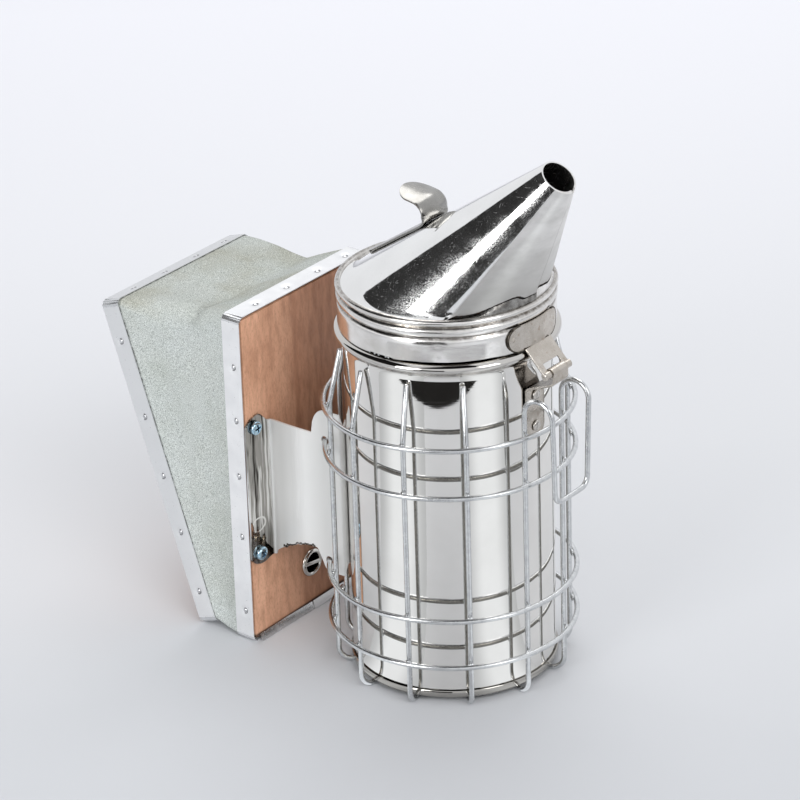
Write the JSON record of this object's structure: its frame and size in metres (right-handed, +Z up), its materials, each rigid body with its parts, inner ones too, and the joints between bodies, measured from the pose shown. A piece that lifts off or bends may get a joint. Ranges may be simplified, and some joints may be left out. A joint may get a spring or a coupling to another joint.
{
  "type": "bee smoker",
  "caption": "Bee smoker: caged round fire pot with a hinged cone-spout lid and hanging hook, and a sprung wedge bellows that blows air in low at its back.",
  "frame": {"origin": "on the ground, below the middle of the smoker's length and width", "axes": "+X towards the spout and the hanging hook, +Y to the left seen from the bellows, +Z up"},
  "size_m": [0.2494, 0.1234, 0.2738],
  "materials": {
    "polished_stainless": "mirror-polished stainless sheet",
    "plain_stainless": "mill-finish stainless sheet",
    "galvanised_wire": "bright galvanised steel wire",
    "aluminium_band": "bright rolled strip with soft dents",
    "plywood": "bare red-brown veneer",
    "leather": "matt grained grey-green leather",
    "spring_steel": "drawn spring wire",
    "blackened_steel": "fire-darkened sheet",
    "blue_zinc": "blue zinc plate"
  },
  "bodies": {
    "pot": {"fire_pot": "polished_stainless", "pot_base": "polished_stainless", "air_inlet_tube": "polished_stainless", "guard_ring_1": "galvanised_wire", "guard_ring_2": "galvanised_wire", "guard_ring_3": "galvanised_wire", "guard_ring_4": "galvanised_wire", "guard_stave_01": "galvanised_wire", "guard_stave_02": "galvanised_wire", "guard_stave_03": "galvanised_wire", "guard_stave_04": "galvanised_wire", "guard_stave_05": "galvanised_wire", "guard_stave_06": "galvanised_wire", "guard_stave_07": "galvanised_wire", "guard_stave_08": "galvanised_wire", "guard_stave_09": "galvanised_wire", "guard_stave_10": "galvanised_wire", "hang_hook": "galvanised_wire", "bracket_left": "polished_stainless", "bracket_right": "polished_stainless", "bracket_screw_left_lower": "blue_zinc", "bracket_screw_left_upper": "blue_zinc", "bracket_screw_right_lower": "blue_zinc", "bracket_screw_right_upper": "blue_zinc", "front_board": "plywood", "front_edge_band": "aluminium_band", "air_outlet_ferrule": "plain_stainless", "hinge_lower_leaf": "plain_stainless", "hinge_rivet_lower": "plain_stainless", "hinge_rivet_upper": "plain_stainless", "bellows_leather": "leather", "bellows_spring": "spring_steel"},
    "lid": {"lid_collar": "polished_stainless", "lid_cone": "polished_stainless", "thumb_lift": "polished_stainless", "hinge_upper_leaf": "plain_stainless"},
    "bellows_rear": {"rear_board": "plywood", "rear_edge_band": "aluminium_band"},
    "grate": {"fuel_grate": "blackened_steel"}
  },
  "joints": [
    {"name": "lid_hinge", "type": "hinge", "parent": "pot", "child": "lid", "pos_m": [0.11472, 0, 0.1705], "axis": [0, 1, 0], "range_deg": [0, 105]},
    {"name": "bellows_squeeze", "type": "hinge", "parent": "pot", "child": "bellows_rear", "pos_m": [-0.05363, 0, 0.005], "axis": [0, 1, 0], "range_deg": [0, 15], "stiffness_Nm_per_rad": 3, "springref_deg": -11.46, "deforming": ["bellows_leather", "bellows_spring"]},
    {"name": "grate_lift", "type": "slide", "parent": "pot", "child": "grate", "axis": [0, 0, 1], "range_m": [0, 0.15]}
  ]
}
